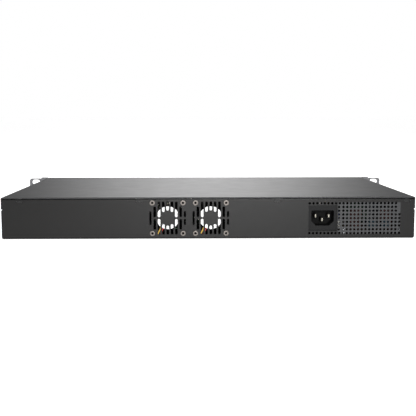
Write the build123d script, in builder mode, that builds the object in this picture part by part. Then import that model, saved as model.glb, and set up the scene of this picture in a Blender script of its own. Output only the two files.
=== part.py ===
from build123d import *
import os
from math import cos, sin, tan, pi, radians, sqrt

# A 1U rackmount network switch.
# Frame: +Z up, front (sockets) towards -Y, rear (fans and mains inlet) towards +Y,
# origin at the middle of the underside. All lengths in millimetres.

os.makedirs("parts", exist_ok=True)

# ---- chassis ----
width = 432.0
depth = 260.0
rear = depth / 2
front = -depth / 2
sheet = 1.0
cover_top = 43.7
cover_under = cover_top - sheet
cover_side = width / 2
flange_bottom = 31.4
wall = 215.8
upper_wall = 214.8
shoulder = 30.0
panel_top = 42.0
panel_inner = rear - sheet
bend = 2.0

# ---- rack ears ----
ear_thickness = 2.0
ear_reach = 482.6 / 2
rack_hole_x = 465.1 / 2
rack_hole_pitch = 31.75
rack_hole_low = 5.98
rack_slot = (10.5, 6.8)

# ---- rear panel ----
fan_x = {1: 43.0, 2: -2.0}
fan_z = 21.9
fan_size = 40.0
fan_depth = 20.0
fan_hole = 16.0
grill_pitch = 4.5
grill_disc = 7.8
grill_reach = (17.4, 17.4, 17.4, 12.2, 7.4)
inlet_x = -119.1
inlet_z = 21.4
inlet_cut = (29.8, 27.0)
vent_pitch = 3.93
vent_radius = 1.3
vent_x = -152.5
vent_z = 21.3
hook_x = (196.8, 72.5, -72.0, -207.2)
hook_z = 39.3
mark_x = (88.0, -87.0)
mark_z = 40.4
mark_height = 0.15
earth_y = 50.0

# ---- boards and front ----
board_under = 5.0
board_thickness = 1.6
board_top = board_under + board_thickness
plate_sheet = 1.2
plate_low = 1.0
plate_gap = 0.1
plate_screw_inset = 8.6
plates = {
    "ports": [(-213.6, -125.0)],
    "jacks": [(-125.0, -25.0), (-25.0, 77.0)],
    "optics": [(77.0, 157.0)],
    "vent": [(157.0, 213.6)],
}
jack_pitch = 13.97
jack_row = 13.2
jack_columns = 6
jack_face = front - 0.1
jack_depth = 23.6
jack_block_x = (-73.0, 23.0)
console_x = -190.0
shield = 0.3
port_x = 120.0
bay = (14.2, 9.2)
cage_wall = 0.5
cage_depth = 48.0
usb_x = -166.0
button_z = board_top + 3.6
mode_x = -140.0
reset_x = -150.0
button_travel = 0.6
guide_x = (-196.0, -186.0, -176.0, -166.0)
guide_z = 30.0


def across(y, x=0, z=0):
    """A plane square to Y, drawn in X and Z from a middle, whose normal points to the front."""
    return Plane(origin=(x, y, z), x_dir=(1, 0, 0), z_dir=(0, -1, 0))


def block(x, y, z, mode=Mode.ADD):
    """A rectangular block between a pair of x, a pair of y and a pair of z."""
    pairs = (x, y, z)
    middle = tuple((low + high) / 2 for low, high in pairs)
    size = [abs(high - low) for low, high in pairs]
    with Locations(middle):
        Box(*size, mode=mode)


def around(middle, half):
    """The pair of values that lie half a width on each side of a middle."""
    return (middle - half, middle + half)


def post(places, radius, length, mode=Mode.ADD):
    """Round posts that rise by their length from planes."""
    with Locations(*places):
        Cylinder(radius, length, align=(Align.CENTER, Align.CENTER, Align.MIN), mode=mode)


def lifted(places, distance):
    """The same planes, moved along their normals."""
    return [place.offset(distance) for place in places]


def cross_recess(places, arm, thickness, sink):
    """The cross-shaped drive recess of screws whose heads end at planes."""
    with Locations(*places):
        Box(arm, thickness, 2 * sink, mode=Mode.SUBTRACT)
    with Locations(*places):
        Box(thickness, arm, 2 * sink, mode=Mode.SUBTRACT)


def pan_screw(places, head, shank, length):
    """Pan-head screws: head is (radius, height), and stands on a plane."""
    radius, high = head
    post(places, radius, high)
    post(lifted(places, -length), shank, length)
    cross_recess(lifted(places, high), 1.3 * radius, 0.3 * radius, 0.6 * high)


def flush_shape(places, head, shank, length, mode):
    """A countersunk head, (radius, height), flush with a plane, and its straight shank."""
    radius, high = head
    post(lifted(places, -length), shank, length - high / 2, mode)
    with Locations(*lifted(places, -high)):
        Cone(shank, radius, high, align=(Align.CENTER, Align.CENTER, Align.MIN), mode=mode)


def flush_screw(places, head, shank, length):
    """Countersunk screws with cross recesses."""
    flush_shape(places, head, shank, length, Mode.ADD)
    cross_recess(places, 1.2 * head[0], 0.28 * head[0], 0.6 * head[1])


def lead(points, bends, radius):
    """A round lead along straight runs joined by tangent arcs; prints a check of its volume."""
    start = Vector(*points[0])
    first = Vector(*points[1]) - start
    with BuildLine(mode=Mode.PRIVATE) as route:
        FilletPolyline(*points, radius=bends)
    with BuildSketch(Plane(origin=start, z_dir=first)) as section:
        Circle(radius)
    path = route.wire()
    tube = sweep(section.sketch, path=path)
    expected = pi * radius ** 2 * path.length
    print(f"lead radius {radius}: volume {tube.volume:.1f}, section x length {expected:.1f}, bends {bends}")


def save(builder, name):
    """Label a finished piece and write it as one STEP file."""
    builder.part.label = name
    export_step(builder.part, f"parts/{name}.step")


# ======================= chassis =======================

cover_screw = (2.6, 1.1)
ear_screw = (3.9, 1.9)
plate_screw = (2.6, 0.95)
ear_screw_y = (-118.0, -82.0)
ear_screw_z = (8.0, 23.0)
cover_screw_y = (-96.0, 0.0, 96.0)
cover_screw_z = 36.5
plate_spans = [span for spans in plates.values() for span in spans]
plate_screw_x = [low + plate_screw_inset for low, high in plate_spans]
plate_screw_x += [high - plate_screw_inset for low, high in plate_spans]
plate_screw_y = front + 8.5


def side_planes(x, y, z):
    """The two planes at the same place on both sides, with normals that point outwards."""
    return (Plane(origin=(x, y, z), z_dir=(1, 0, 0)), Plane(origin=(-x, y, z), z_dir=(-1, 0, 0)))


ear_places = [p for y in ear_screw_y for z in ear_screw_z for p in side_planes(wall + ear_thickness, y, z)]
cover_places = [p for y in cover_screw_y for p in side_planes(cover_side, y, cover_screw_z)]
plate_places = [Plane(origin=(x, plate_screw_y, 0), z_dir=(0, 0, -1)) for x in plate_screw_x]


def grill_slots(x):
    """The slots of one fan's grill, which leave a solid disc in front of the fan's hub."""
    for column in range(-4, 5):
        offset = column * grill_pitch
        reach = grill_reach[abs(column)]
        slot = 2.3 if abs(column) == 4 else 2.8
        inner = 0.85
        if abs(column) < 2:
            inner = sqrt(grill_disc ** 2 - offset ** 2)
        spans = [(inner, reach), (-reach, -inner)]
        if column == 4:
            spans = [(-reach, reach)]
        for low, high in spans:
            with Locations((x + offset, fan_z + (low + high) / 2)):
                SlotOverall(high - low, slot, rotation=90, mode=Mode.SUBTRACT)


def vent_places():
    """The middles of the small vent holes beside, above and below the mains inlet."""
    places = []
    for row in range(9):
        # The first and last rows run above and below the inlet, the others start beside it.
        beside = row not in (0, 8)
        for column in range(8 if beside else 0, 25 if row > 2 else 24):
            nudge = 0.6 if beside and column == 8 else 0
            x = vent_x + vent_pitch * (12 - column) + nudge
            places.append((x, vent_z + vent_pitch * (4 - row)))
    return places


joggle = wall - upper_wall
inner_joggle = sheet * tan(radians(22.5))
wall_flange = 8.0

with BuildPart() as base_tray:
    # Floor, side walls with a joggle for the cover, and the walls' top flanges.
    with BuildSketch(across(rear)):
        with BuildLine():
            Polyline(
                (0, 0), (wall, 0), (wall, shoulder), (upper_wall, shoulder + joggle),
                (upper_wall, cover_under), (upper_wall - wall_flange, cover_under),
                (upper_wall - wall_flange, cover_under - sheet), (upper_wall - sheet, cover_under - sheet),
                (upper_wall - sheet, shoulder + joggle - inner_joggle),
                (wall - sheet, shoulder - inner_joggle), (wall - sheet, sheet), (0, sheet), (0, 0),
            )
        make_face()
        mirror(about=Plane.YZ)
    extrude(amount=depth)
    # The walls' flanges stop short of the front and rear panels, where the walls are lower too.
    for side in (-1, 1):
        flange_x = (side * (upper_wall - wall_flange - 1), side * (upper_wall - sheet))
        wall_x = (side * (upper_wall - 2), side * (upper_wall + 1))
        for ends in ((rear - 10, rear + 1), (front - 1, front + 2)):
            block(flange_x, ends, (panel_top - 2, cover_top), Mode.SUBTRACT)
            block(wall_x, ends, (panel_top, cover_top), Mode.SUBTRACT)
    # Rear panel.
    with BuildSketch(across(rear)):
        with BuildLine():
            Polyline(
                (0, 0), (wall, 0), (wall, shoulder), (upper_wall, shoulder + joggle),
                (upper_wall, panel_top), (0, panel_top), (0, 0),
            )
        make_face()
        mirror(about=Plane.YZ)
        for x in fan_x.values():
            grill_slots(x)
            with Locations((x, fan_z)):
                with GridLocations(2 * fan_hole, 2 * fan_hole, 2, 2):
                    Circle(2.1, mode=Mode.SUBTRACT)
        with Locations((inlet_x, inlet_z)):
            Rectangle(*inlet_cut, mode=Mode.SUBTRACT)
        with Locations(*vent_places()):
            Circle(vent_radius, mode=Mode.SUBTRACT)
        with Locations(*[(x, hook_z) for x in hook_x]):
            SlotOverall(6.6, 2.0, mode=Mode.SUBTRACT)
    extrude(amount=sheet)
    # Bends along the bottom and the panel's top edge.
    straight = base_tray.edges().filter_by(GeomType.LINE)
    bottom = straight.filter_by_position(Axis.Z, -0.01, 0.01)
    fillet(bottom.filter_by(lambda e: abs(e.center().X) > wall - 0.1 or e.center().Y > rear - 0.1), bend)
    top = base_tray.edges().filter_by(Axis.X).filter_by_position(Axis.Z, panel_top - 0.01, panel_top + 0.01)
    fillet(top.filter_by(lambda e: e.center().Y > rear - 0.1), 0.95)
    # Faint raised marks where the panel is spot-welded to its flange.
    for x in mark_x:
        block(around(x, 3.5), (rear - 0.1, rear + mark_height), around(mark_z, 0.6))
    # The panel's top flange turns inwards, and is left out over the fans and at the hooks.
    for low, high in ((-203.0, -26.0), (77.0, 206.0)):
        block((low, high), (panel_inner - 7, panel_inner), (panel_top - sheet, panel_top))
    for x in (hook_x[0], hook_x[2]):
        notch_y = (panel_inner - 1.8, panel_inner)
        block(around(x, 3.8), notch_y, (panel_top - 2, panel_top + 1), Mode.SUBTRACT)
    # Side vents.
    for side in (-1, 1):
        with BuildSketch(Plane.YZ.offset(side * (wall + 1))):
            with Locations((20, 15.5)):
                with GridLocations(7, 0, 16, 1):
                    SlotOverall(18, 3, rotation=90)
        extrude(amount=-side * 3, mode=Mode.SUBTRACT)
    # Screw holes.
    post(lifted(ear_places, -ear_thickness - 3), 2.05, 4, Mode.SUBTRACT)
    post(lifted(cover_places, -4), 1.7, 3.5, Mode.SUBTRACT)
    flush_shape(plate_places, (2.65, 1.0), 1.6, 2.0, Mode.SUBTRACT)
    post([Plane(origin=(inlet_x, earth_y, -0.5))], 2.05, 2.0, Mode.SUBTRACT)
save(base_tray, "base_tray")

with BuildPart() as top_cover:
    block(around(0, cover_side), around(0, rear), (flange_bottom, cover_top))
    fillet(top_cover.faces().sort_by(Axis.Z)[-1].edges(), 1.2)
    inside = around(0, cover_side - sheet)
    block(inside, around(0, rear - sheet), (flange_bottom - 1, cover_under), Mode.SUBTRACT)
    # The front and rear edges only turn down over the panels' top bends.
    block(inside, around(0, rear + 1), (flange_bottom - 1, cover_under - 0.2), Mode.SUBTRACT)
    flush_shape(cover_places, (2.65, 1.1), 1.55, 3.0, Mode.SUBTRACT)
    # Hooks that reach into the rear panel's slots.
    for x in hook_x:
        block(around(x, 2.8), (panel_inner - 1.2, panel_inner - 0.2), (hook_z - 0.9, cover_under))
        block(around(x, 2.8), (panel_inner - 0.2, panel_inner + 0.35), (hook_z - 0.9, hook_z + 0.5))
save(top_cover, "top_cover")

with BuildPart() as ear_screws:
    flush_screw(ear_places, ear_screw, 1.95, 8.0)
save(ear_screws, "ear_screws")

with BuildPart() as case_screws:
    flush_screw(cover_places, cover_screw, 1.45, 6.0)
    flush_screw(plate_places, plate_screw, 1.45, 4.2)
save(case_screws, "case_screws")

with BuildPart() as clinch_nuts:
    # Pressed nuts behind the ear screws, the cover screws and the front plates' screws.
    nut_length = 2.4
    for places, outer, bore, reach in (
        (ear_places, 3.4, 2.05, ear_thickness + sheet),
        (cover_places, 2.8, 1.55, cover_side - upper_wall + sheet),
        (plate_places, 2.8, 1.55, sheet + plate_sheet),
    ):
        post(lifted(places, -reach - nut_length), outer, nut_length)
        post(lifted(places, -reach - nut_length), bore, nut_length, Mode.SUBTRACT)
save(clinch_nuts, "clinch_nuts")

for name, side in (("ear_left", -1), ("ear_right", 1)):
    with BuildPart() as ear:
        # The leg lies on the tray's side wall, and the face turns outwards at the front.
        block((side * wall, side * (wall + ear_thickness)), (front, front + 60), (1.0, 29.4))
        with BuildSketch(across(front + ear_thickness)):
            with BuildLine():
                Polyline(
                    (side * wall, 1.0), (side * (ear_reach - 2), 1.0), (side * ear_reach, 3.0),
                    (side * ear_reach, 40.6), (side * (ear_reach - 2), 42.6), (side * 225.8, 42.6),
                    (side * 224.4, 44.0), (side * (cover_side + 0.3), 44.0),
                    (side * (cover_side + 0.3), 30.6), (side * wall, 29.4), (side * wall, 1.0),
                )
            make_face()
            rack_holes = [(side * rack_hole_x, rack_hole_low + n * rack_hole_pitch) for n in (0, 1)]
            with Locations(*rack_holes):
                SlotOverall(*rack_slot, mode=Mode.SUBTRACT)
        extrude(amount=ear_thickness)
        own_places = [place for place in ear_places if place.origin.X * side > 0]
        flush_shape(own_places, (ear_screw[0] + 0.05, ear_screw[1]), 2.05, 3.0, Mode.SUBTRACT)
        back = front + ear_thickness
        corner = ear.edges().filter_by(Axis.Z).filter_by_position(Axis.Y, back - 0.1, back + 0.1)
        fillet(corner.filter_by(lambda e: abs(abs(e.center().X) - wall - ear_thickness) < 0.1), 1.2)
    save(ear, name)

# ======================= fans =======================

strut_angles = (180, 60)
frame_front = panel_inner - fan_depth
hub_face = panel_inner - 2.0
strut_back = hub_face - 2.5
rotor_front = frame_front + 1.2
rotor_back = strut_back - 1.0
shaft_radius = 1.0
bearing_radius = 2.5
tube_radius = 3.5
bore_radius = 18.8
hub_radius = 12.4
channel_angle = -60
fan_lead_radius = 0.6
fan_lead_pitch = 1.4
fan_lead_z = 2.95
fan_notch = (7.6, 12.2)
header_pitch = 2.54
header_y = 92.0


def fan_frame(x):
    """A square flange at each end of a round duct, with three struts that carry the hub."""
    with BuildPart() as frame:
        with BuildSketch(across(panel_inner)):
            with Locations((x, fan_z)):
                RectangleRounded(fan_size, fan_size, 2.5)
        extrude(amount=fan_depth)
        with BuildSketch(across(panel_inner - 3)):
            with Locations((x, fan_z)):
                Rectangle(fan_size + 2, fan_size + 2)
                Circle(bore_radius + 1, mode=Mode.SUBTRACT)
        extrude(amount=fan_depth - 6, mode=Mode.SUBTRACT)
        with BuildSketch(across(panel_inner)):
            with Locations((x, fan_z)):
                Circle(bore_radius)
                with GridLocations(2 * fan_hole, 2 * fan_hole, 2, 2):
                    Circle(2.0)
        extrude(amount=fan_depth, mode=Mode.SUBTRACT)
        # Hub and struts; the strut under the leads is a channel.
        with BuildSketch(across(hub_face)):
            with Locations((x, fan_z)):
                Circle(hub_radius)
                for angle in (*strut_angles, channel_angle):
                    with Locations((15.4 * cos(radians(angle)), 15.4 * sin(radians(angle)))):
                        Rectangle(8, 6.4 if angle == channel_angle else 2.6, rotation=angle)
        extrude(amount=hub_face - strut_back)
        # Bearing tube.
        post([Plane(origin=(x, strut_back, fan_z), z_dir=(0, -1, 0))], tube_radius, 11.0)
        seat = [Plane(origin=(x, strut_back + 1.2, fan_z), z_dir=(0, -1, 0))]
        post(seat, bearing_radius, 14.0, Mode.SUBTRACT)
        # The leads' channel across hub, strut and flange, and their notches in both flanges.
        with BuildSketch(across(panel_inner + 0.5)):
            slant = radians(channel_angle)
            with Locations((x + 17.4 * cos(slant), fan_z + 17.4 * sin(slant))):
                Rectangle(15.2, 5.4, rotation=channel_angle)
        extrude(amount=3.9, mode=Mode.SUBTRACT)
        notch_x = [x + side for side in fan_notch]
        block(notch_x, (frame_front - 1, rear), (0, 3.9), Mode.SUBTRACT)
    return frame


def fan_rotor(x):
    """A cup with a magnet ring's wall and seven curved blades."""
    with BuildPart() as rotor:
        cup = 12.0
        tip = 18.3
        with BuildSketch(across(rotor_back)):
            with Locations((x, fan_z)):
                Circle(cup)
        extrude(amount=rotor_back - rotor_front)
        with BuildSketch(across(rotor_back)):
            with Locations((x, fan_z)):
                Circle(10.0)
        extrude(amount=rotor_back - rotor_front - 1.2, mode=Mode.SUBTRACT)
        middle = (rotor_front + rotor_back) / 2
        for blade in range(7):
            angle = radians(blade * 360 / 7 + 12)
            outwards = Vector(cos(angle), 0, sin(angle))
            root = Vector(x, middle, fan_z) + outwards * (cup - 1.0)
            with BuildSketch(Plane(origin=root, x_dir=(0, 1, 0), z_dir=outwards)):
                with BuildLine():
                    camber = ThreePointArc((-5.4, -3.6), (-0.6, 0.6), (5.4, 3.2))
                SlotArc(camber, 1.0)
            extrude(amount=tip - cup + 1.6)
        trim = Plane(origin=(x, rotor_back, fan_z), z_dir=(0, -1, 0))
        post([trim], tip, fan_depth, Mode.INTERSECT)
        boss = [Plane(origin=(x, rotor_front + 2.8, fan_z), z_dir=(0, -1, 0))]
        post(boss, 2.6, 2.0)
        post(boss, shaft_radius, 2.2, Mode.SUBTRACT)
    return rotor


def fan_stator(x):
    """Four poles with wide shoes, a coil round each, and a round circuit board."""
    with BuildPart() as stator:
        core_front = strut_back - 9.5
        with BuildSketch(across(core_front + 6)):
            with Locations((x, fan_z)):
                Circle(9.4)
                Circle(7.9, mode=Mode.SUBTRACT)
                for turn in (0, 90):
                    Rectangle(3.4, 3.4 * 5, rotation=turn + 45)
                    Rectangle(30, 2.0, rotation=turn, mode=Mode.SUBTRACT)
                for turn in (0, 90):
                    Rectangle(3.0, 16.4, rotation=turn + 45)
                Circle(5.0)
                Circle(tube_radius, mode=Mode.SUBTRACT)
        extrude(amount=6)
        for quarter in range(4):
            angle = radians(45 + 90 * quarter)
            outwards = Vector(cos(angle), 0, sin(angle))
            root = Vector(x, core_front + 3, fan_z) + outwards * 5.1
            with BuildSketch(Plane(origin=root, x_dir=(0, 1, 0), z_dir=outwards)):
                Rectangle(8.4, 5.0)
                Rectangle(6.0, 3.0, mode=Mode.SUBTRACT)
            extrude(amount=2.6)
        with BuildSketch(across(strut_back - 1.2)):
            with Locations((x, fan_z)):
                Circle(9.6)
                Circle(tube_radius, mode=Mode.SUBTRACT)
        extrude(amount=0.8)
    return stator


def fan_leads(x):
    """Three leads from the hub, along the strut's channel, past the frame and up to a header."""
    along = radians(channel_angle)
    square = radians(channel_angle + 90)
    lead_y = hub_face - 0.7
    with BuildPart() as leads:
        for index in range(3):
            sideways = (index - 1) * fan_lead_pitch
            start_x = x + 9.9 * cos(along) + sideways * cos(square)
            start_z = fan_z + 9.9 * sin(along) + sideways * sin(square)
            notch_x = x + sum(fan_notch) / 2 + fan_lead_pitch * (index - 1)
            header_x = x + 6 + header_pitch * (index - 1)
            points = [
                (start_x, lead_y, start_z), (notch_x, lead_y, fan_lead_z),
                (notch_x, frame_front - 4, fan_lead_z), (header_x, header_y + 8, board_top + 4),
                (header_x, header_y, board_top + 4),
            ]
            lead(points, [1.5, 8, 8], fan_lead_radius)
    return leads


for number, x in fan_x.items():
    save(fan_frame(x), f"fan_{number}_frame")
    save(fan_rotor(x), f"fan_{number}_rotor")

    with BuildPart() as shaft:
        post([Plane(origin=(x, rotor_front + 0.6, fan_z), z_dir=(0, 1, 0))], shaft_radius, 13.0)
    save(shaft, f"fan_{number}_shaft")

    with BuildPart() as bearing:
        bush = [Plane(origin=(x, strut_back - 10.5, fan_z), z_dir=(0, 1, 0))]
        post(bush, bearing_radius, 10.0)
        post(bush, shaft_radius + 0.04, 10.5, Mode.SUBTRACT)
    save(bearing, f"fan_{number}_bearing")

    save(fan_stator(x), f"fan_{number}_stator")
    save(fan_leads(x), f"fan_{number}_leads")

    with BuildPart() as label:
        post([Plane(origin=(x, hub_face, fan_z), z_dir=(0, 1, 0))], 12.0, 0.15)
    save(label, f"fan_{number}_label")

fan_screw_places = [
    Plane(origin=(x + dx, rear, fan_z + dz), z_dir=(0, 1, 0))
    for x in fan_x.values() for dx in (-fan_hole, fan_hole) for dz in (-fan_hole, fan_hole)
]

fan_head = (2.85, 1.0)
fan_socket = (1.5, 2.4)

with BuildPart() as fan_screws:
    # Button heads with deep six-sided sockets.
    post(fan_screw_places, *fan_head)
    round_edges = fan_screws.edges().filter_by(GeomType.CIRCLE)
    fillet(round_edges.filter_by_position(Axis.Y, rear + 0.99, rear + 1.01), 0.5)
    post(lifted(fan_screw_places, -10), 1.95, 10.2)
    for place in fan_screw_places:
        with BuildSketch(place.offset(fan_head[1])):
            RegularPolygon(fan_socket[0], 6)
        extrude(amount=-fan_socket[1], mode=Mode.SUBTRACT)
save(fan_screws, "fan_screws")

# ======================= mains inlet =======================

socket_size = (24.0, 16.2)
socket_corner = 5.0
socket_face = panel_inner - 0.1
socket_floor = socket_face - 16.0
inlet_back = socket_floor - 3.0
terminal_end = inlet_back - 7.0
live_z = inlet_z + 2.0
earth_pin_z = inlet_z - 2.0
pin_places = ((inlet_x + 7, live_z), (inlet_x - 7, live_z), (inlet_x, earth_pin_z))
face_plate = 2.2
snap_overlap = 0.7
mains_lead_radius = 1.2
mains_lead_top = 25.4

with BuildPart() as inlet_housing:
    # The face plate lies behind the panel and just overlaps the edges of the cut-out.
    with BuildSketch(across(socket_face)):
        with Locations((inlet_x, inlet_z)):
            RectangleRounded(inlet_cut[0] + 2 * snap_overlap, inlet_cut[1] + 2 * snap_overlap, 1)
    extrude(amount=face_plate)
    with BuildSketch(across(socket_face - face_plate)):
        with Locations((inlet_x, inlet_z)):
            RectangleRounded(27.6, 20.0, 2)
    extrude(amount=socket_face - face_plate - inlet_back)
    # The socket, with its two lower corners cut off.
    half_w = socket_size[0] / 2
    half_h = socket_size[1] / 2
    with BuildSketch(across(socket_face, inlet_x, inlet_z)) as socket_shape:
        with BuildLine():
            Polyline(
                (-half_w + socket_corner, -half_h), (half_w - socket_corner, -half_h),
                (half_w, -half_h + socket_corner), (half_w, half_h), (-half_w, half_h),
                (-half_w, -half_h + socket_corner), (-half_w + socket_corner, -half_h),
            )
        make_face()
        corners = socket_shape.vertices().group_by(Axis.Y)[-1]
        fillet(corners, 1.5)
    extrude(amount=socket_face - socket_floor, mode=Mode.SUBTRACT)
    for x, z in pin_places:
        block(around(x, 1.0), (inlet_back - 1, socket_floor + 1), around(z, 2.0), Mode.SUBTRACT)
save(inlet_housing, "inlet_housing")

with BuildPart() as inlet_pins:
    for x, z in pin_places:
        block(around(x, 1.0), (inlet_back, socket_face - 2.5), around(z, 2.0))
        block(around(x, 0.4), (terminal_end, inlet_back), around(z, 2.0))
    tips = inlet_pins.faces().filter_by(Axis.Y).group_by(Axis.Y)[-1].edges()
    chamfer(tips, 0.5)
save(inlet_pins, "inlet_pins")

psu_input_x = -144.5
psu_input_top = board_top + 8.4

with BuildPart() as line_lead:
    points = [
        (inlet_x + 7, terminal_end, live_z), (inlet_x + 7, 73, live_z),
        (psu_input_x, 73, mains_lead_top), (psu_input_x, 73, psu_input_top),
    ]
    lead(points, [12, 4.4], mains_lead_radius)
save(line_lead, "line_lead")

with BuildPart() as neutral_lead:
    points = [
        (inlet_x - 7, terminal_end, live_z), (inlet_x - 7, 83, live_z),
        (psu_input_x, 83, mains_lead_top), (psu_input_x, 83, psu_input_top),
    ]
    lead(points, [7.5, 4.4], mains_lead_radius)
save(neutral_lead, "neutral_lead")

lug_end = earth_y + 12
lug_z = 3.0
lug_sheet = 0.8

with BuildPart() as earth_lead:
    points = [
        (inlet_x, terminal_end, earth_pin_z), (inlet_x, 82, earth_pin_z),
        (inlet_x, lug_end + 8, lug_z), (inlet_x, lug_end, lug_z),
    ]
    lead(points, [12, 6], mains_lead_radius)
    # Ring lug: barrel, neck and ring.
    post([Plane(origin=(inlet_x, lug_end - 6, lug_z), z_dir=(0, 1, 0))], 1.9, 6)
    block(around(inlet_x, 1.8), (earth_y, lug_end - 1), (sheet, sheet + lug_sheet))
    post([Plane(origin=(inlet_x, earth_y, sheet))], 4.0, lug_sheet)
    post([Plane(origin=(inlet_x, earth_y, sheet))], 2.1, lug_sheet, Mode.SUBTRACT)
save(earth_lead, "earth_lead")

# ======================= power supply =======================

psu_x = (-208.0, -140.0)
psu_y = (-14.0, 120.0)
psu_holes = [(x, y) for x in (psu_x[0] + 4, psu_x[1] - 4) for y in (psu_y[0] + 4, psu_y[1] - 4)]
board_holes = (
    (-198, -28), (-92, -28), (60, -28), (198, -28), (-88, 88), (84, 88), (198, 88),
    (-126, -112), (78, -112), (200, -112),
)
board_front = front + 2.2
board_step_x = -95.0
board_step_y = -20.0
board_rear = 95.0
board_half = 206.0
spacer_places = [Plane(origin=(x, y, sheet)) for x, y in [*psu_holes, *board_holes]]
screw_places = [Plane(origin=(x, y, board_top)) for x, y in [*psu_holes, *board_holes]]

with BuildPart() as psu_board:
    block(psu_x, psu_y, (board_under, board_top))
    post([Plane(origin=(x, y, board_under)) for x, y in psu_holes], 1.6, board_thickness, Mode.SUBTRACT)
save(psu_board, "psu_board")

with BuildPart() as board_spacers:
    post(spacer_places, 3.0, board_under - sheet)
    post(spacer_places, 1.5, board_under - sheet, Mode.SUBTRACT)
save(board_spacers, "board_spacers")

with BuildPart() as board_screws:
    pan_screw(screw_places, (2.8, 1.8), 1.45, board_thickness + 3)
    pan_screw([Plane(origin=(inlet_x, earth_y, sheet + lug_sheet))], (3.6, 2.2), 1.95, 1.6)
save(board_screws, "board_screws")

sink_top = 36.0
sinks = ((-206.5, 1, 18.0, 84.0), (-142.5, -1, 22.0, 62.0))
transistors = ((-204.5, 1, 35.0), (-204.5, 1, 65.0), (-144.5, -1, 42.0))

with BuildPart() as psu_heatsinks:
    # Upright plates with a turned-over top, standing on two feet each.
    for x, inwards, low, high in sinks:
        block((x, x + 2 * inwards), (low, high), (board_top + 2, sink_top))
        block((x, x + 9 * inwards), (low, high), (sink_top - 2, sink_top))
        for foot in (low + 6, high - 6):
            block((x, x + 2 * inwards), around(foot, 2), (board_top, board_top + 2))
save(psu_heatsinks, "psu_heatsinks")

with BuildPart() as psu_transistors:
    for x, inwards, y in transistors:
        block((x, x + 4.5 * inwards), around(y, 5.1), (board_top + 6, board_top + 21))
        for leg in (-2.54, 0, 2.54):
            block((x + 2 * inwards, x + 2.6 * inwards), around(y + leg, 0.4), (board_top, board_top + 6))
save(psu_transistors, "psu_transistors")

transformer_x = -174.0
transformer_y = 24.0
core_low = board_top + 3
core_width = 32.0
core_height = 24.0
window = (6.5, 16.0)
centre_leg = 9.0
window_x = centre_leg / 2 + window[0] / 2

with BuildPart() as psu_transformer_core:
    with BuildSketch(across(transformer_y + 5)):
        with Locations((transformer_x, core_low + core_height / 2)):
            Rectangle(core_width, core_height)
            with Locations((-window_x, 0), (window_x, 0)):
                Rectangle(*window, mode=Mode.SUBTRACT)
    extrude(amount=10)
save(psu_transformer_core, "psu_transformer_core")

with BuildPart() as psu_transformer_coil:
    with BuildSketch(Plane.XY.offset(core_low + 4)):
        with Locations((transformer_x, transformer_y)):
            RectangleRounded(centre_leg + 2 * window[0] - 0.4, 26, 3)
            Rectangle(centre_leg, 10, mode=Mode.SUBTRACT)
    extrude(amount=window[1])
    # The bobbin's two feet, one on each side of the core.
    for side in (-1, 1):
        foot_y = (transformer_y + side * 6, transformer_y + side * 13)
        block(around(transformer_x, 11), foot_y, (board_top, core_low + 4))
save(psu_transformer_coil, "psu_transformer_coil")


def upright_capacitor(places, radius, high):
    """Electrolytic cans with a rounded top edge and a crimp near the foot."""
    cans = [Plane(origin=(x, y, board_top)) for x, y in places]
    post(cans, radius, high)
    with Locations(*lifted(cans, 3.2)):
        Torus(radius + 0.25, 0.7, mode=Mode.SUBTRACT)


with BuildPart() as psu_capacitors:
    upright_capacitor([(-182, 62)], 11.0, 29.0)
    upright_capacitor([(-197, -4), (-184, -4), (-171, -4), (-159, -4)], 5.0, 20.0)
save(psu_capacitors, "psu_capacitors")

with BuildPart() as psu_film_capacitors:
    for x, y, half in ((-159.5, 100, 6.5), (-191, 102, 7.0)):
        block(around(x, half), around(y, 4.2), (board_top, 27.0))
    fillet(psu_film_capacitors.edges().filter_by(Axis.Z), 0.8)
save(psu_film_capacitors, "psu_film_capacitors")

with BuildPart() as psu_disc_capacitors:
    for x in (-175.5, -189.0):
        post([Plane(origin=(x, 113.5, 12.6), z_dir=(0, -1, 0))], 4.6, 3.4)
        for leg in (-2.5, 2.5):
            post([Plane(origin=(x + leg, 111.8, board_top))], 0.35, 3.0)
save(psu_disc_capacitors, "psu_disc_capacitors")

choke_ring = 9.5
choke_wire = 4.0
choke_middle = (-163, 86, board_top + choke_ring + choke_wire)

with BuildPart() as psu_choke:
    with Locations(Plane(origin=choke_middle, z_dir=(0, 1, 0))):
        Torus(choke_ring, choke_wire)
save(psu_choke, "psu_choke")

supply_y = (4.0, 7.5, 11.0, 14.5)
psu_output_top = board_top + 7.4
dc_header_x = -86.5

with BuildPart() as psu_connectors:
    block(around(psu_input_x, 3.5), (67, 89), (board_top, psu_input_top))
    block(around(psu_input_x, 3.5), (supply_y[0] - 2.5, supply_y[-1] + 2.5), (board_top, psu_output_top))
    fillet(psu_connectors.edges().filter_by(Axis.Z), 0.6)
save(psu_connectors, "psu_connectors")

# ======================= main board =======================

chip_x = -20.0
chip_y = -62.0
chip_top = board_top + 2.6
sink_base = 3.0
sink_high = 17.0

with BuildPart() as main_board:
    with BuildSketch(Plane.XY.offset(board_under)):
        with BuildLine():
            Polyline(
                (-board_half, board_front), (board_half, board_front), (board_half, board_rear),
                (board_step_x, board_rear), (board_step_x, board_step_y),
                (-board_half, board_step_y), close=True,
            )
        make_face()
        with Locations(*board_holes):
            Circle(1.6, mode=Mode.SUBTRACT)
    extrude(amount=board_thickness)
save(main_board, "main_board")

with BuildPart() as switch_heatsink:
    block(around(chip_x, 25), around(chip_y, 25), (chip_top, chip_top + sink_base))
    with BuildSketch(Plane.XY.offset(chip_top + sink_base)):
        with Locations((chip_x, chip_y)):
            with GridLocations(4.4, 0, 12, 1):
                Rectangle(1.2, 50)
    extrude(amount=sink_high - sink_base)
save(switch_heatsink, "switch_heatsink")

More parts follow.
